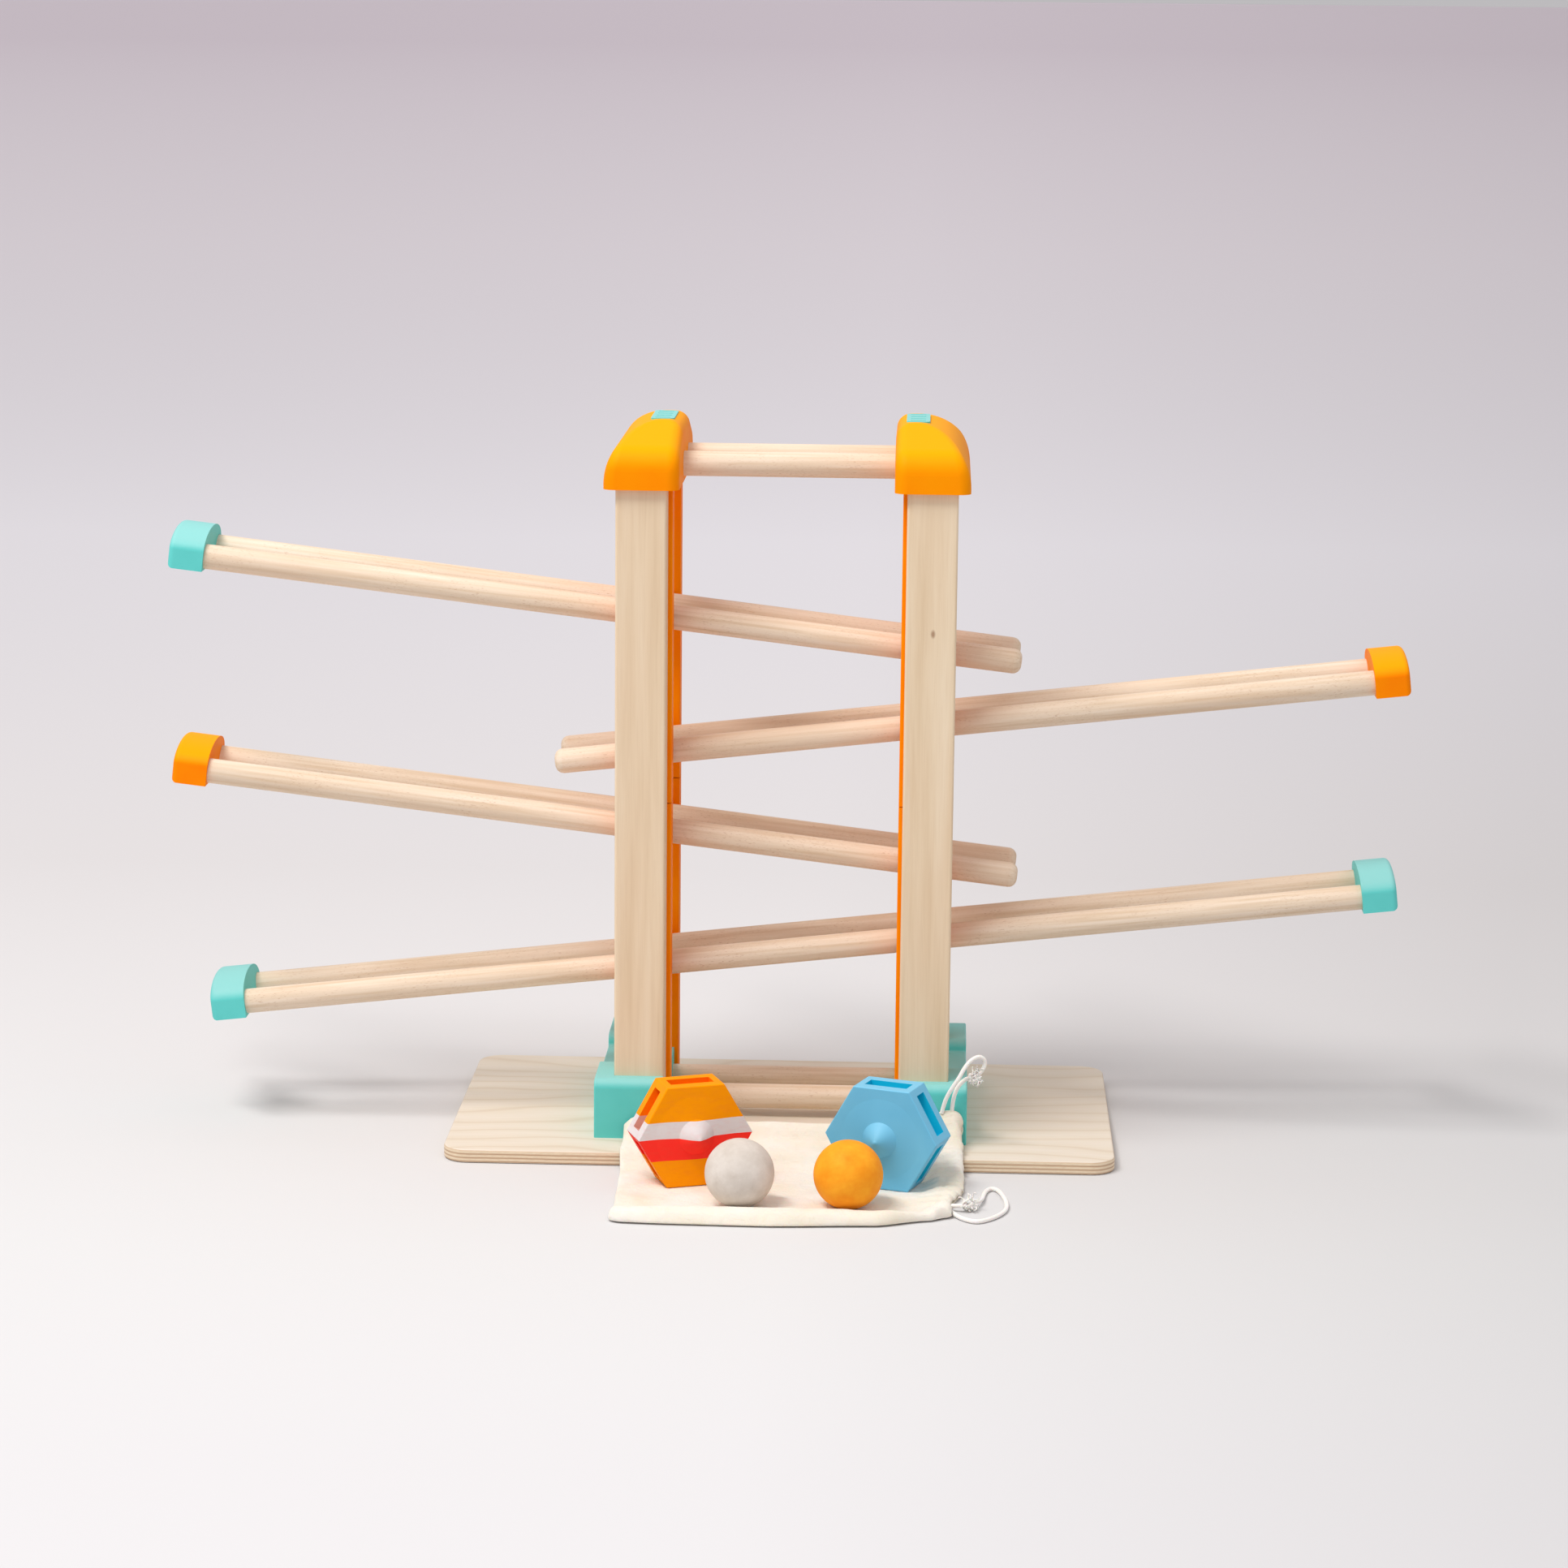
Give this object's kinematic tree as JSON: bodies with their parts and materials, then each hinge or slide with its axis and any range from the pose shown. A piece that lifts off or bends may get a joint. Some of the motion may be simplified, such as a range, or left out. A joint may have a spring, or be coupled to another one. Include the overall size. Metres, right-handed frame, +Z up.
{
  "type": "marble run",
  "caption": "Wooden marble run with a plywood base, twin columns, zigzag pairs of sloping dowel rails, printed caps and end stops, and loose balls, cone wheels and a cloth bag.",
  "frame": {"origin": "centre of the base plate's underside", "axes": "+X along the rails to the right, +Y to the back, +Z up"},
  "size_m": [0.7442, 0.337, 0.4357],
  "materials": {
    "plywood": "clear satin birch plywood",
    "board_wood": "planed pale hardwood, fine straight grain",
    "dowel_wood": "sanded beech dowel",
    "orange_plastic": "matte, fine printed layers",
    "teal_plastic": "matte, fine printed layers",
    "screw_steel": "zinc-plated",
    "grey_ball_plastic": "matte",
    "orange_ball_plastic": "matte",
    "striped_plastic": "matte, printed in orange, white and red bands",
    "blue_plastic": "matte, fine printed layers",
    "cotton": "plain-woven natural cotton",
    "cord_cotton": "soft laid cotton cord"
  },
  "bodies": {
    "frame": {"base_plate": "plywood", "foot_left": "teal_plastic", "cap_left": "orange_plastic", "inlay_left": "teal_plastic", "board_front_left": "board_wood", "strip_front_left_lower": "orange_plastic", "strip_front_left_upper": "orange_plastic", "board_rear_left": "board_wood", "strip_rear_left_lower": "orange_plastic", "strip_rear_left_upper": "orange_plastic", "foot_right": "teal_plastic", "cap_right": "orange_plastic", "inlay_right": "teal_plastic", "board_front_right": "board_wood", "strip_front_right_lower": "orange_plastic", "strip_front_right_upper": "orange_plastic", "board_rear_right": "board_wood", "strip_rear_right_lower": "orange_plastic", "strip_rear_right_upper": "orange_plastic", "top_bar_front": "dowel_wood", "bottom_bar_front": "dowel_wood", "rail_1_front": "dowel_wood", "rail_2_front": "dowel_wood", "rail_3_front": "dowel_wood", "rail_4_front": "dowel_wood", "top_bar_rear": "dowel_wood", "bottom_bar_rear": "dowel_wood", "rail_1_rear": "dowel_wood", "rail_2_rear": "dowel_wood", "rail_3_rear": "dowel_wood", "rail_4_rear": "dowel_wood", "end_stop_1": "teal_plastic", "end_stop_2": "orange_plastic", "end_stop_3": "orange_plastic", "end_stop_4_low": "teal_plastic", "end_stop_4_high": "teal_plastic", "board_screws": "screw_steel", "foot_screws": "screw_steel", "strip_screws": "screw_steel"},
    "bag": {"bag": "cotton", "drawcord_upper": "cord_cotton", "drawcord_lower": "cord_cotton", "knot_upper": "cord_cotton", "knot_lower": "cord_cotton"},
    "ball_grey": {"ball_grey": "grey_ball_plastic"},
    "ball_orange": {"ball_orange": "orange_ball_plastic"},
    "wheel_striped": {"wheel_striped": "striped_plastic"},
    "wheel_blue": {"wheel_blue": "blue_plastic"}
  },
  "joints": [
    {"name": "bag_lift", "type": "slide", "parent": "frame", "child": "bag", "axis": [0, 0, 1], "range_m": [0, 0.12]},
    {"name": "ball_grey_lift", "type": "slide", "parent": "bag", "child": "ball_grey", "axis": [0, 0, 1], "range_m": [0, 0.1]},
    {"name": "ball_orange_lift", "type": "slide", "parent": "bag", "child": "ball_orange", "axis": [0, 0, 1], "range_m": [0, 0.1]},
    {"name": "wheel_striped_lift", "type": "slide", "parent": "bag", "child": "wheel_striped", "axis": [0, 0, 1], "range_m": [0, 0.1]},
    {"name": "wheel_blue_lift", "type": "slide", "parent": "bag", "child": "wheel_blue", "axis": [0, 0, 1], "range_m": [0, 0.1]}
  ]
}
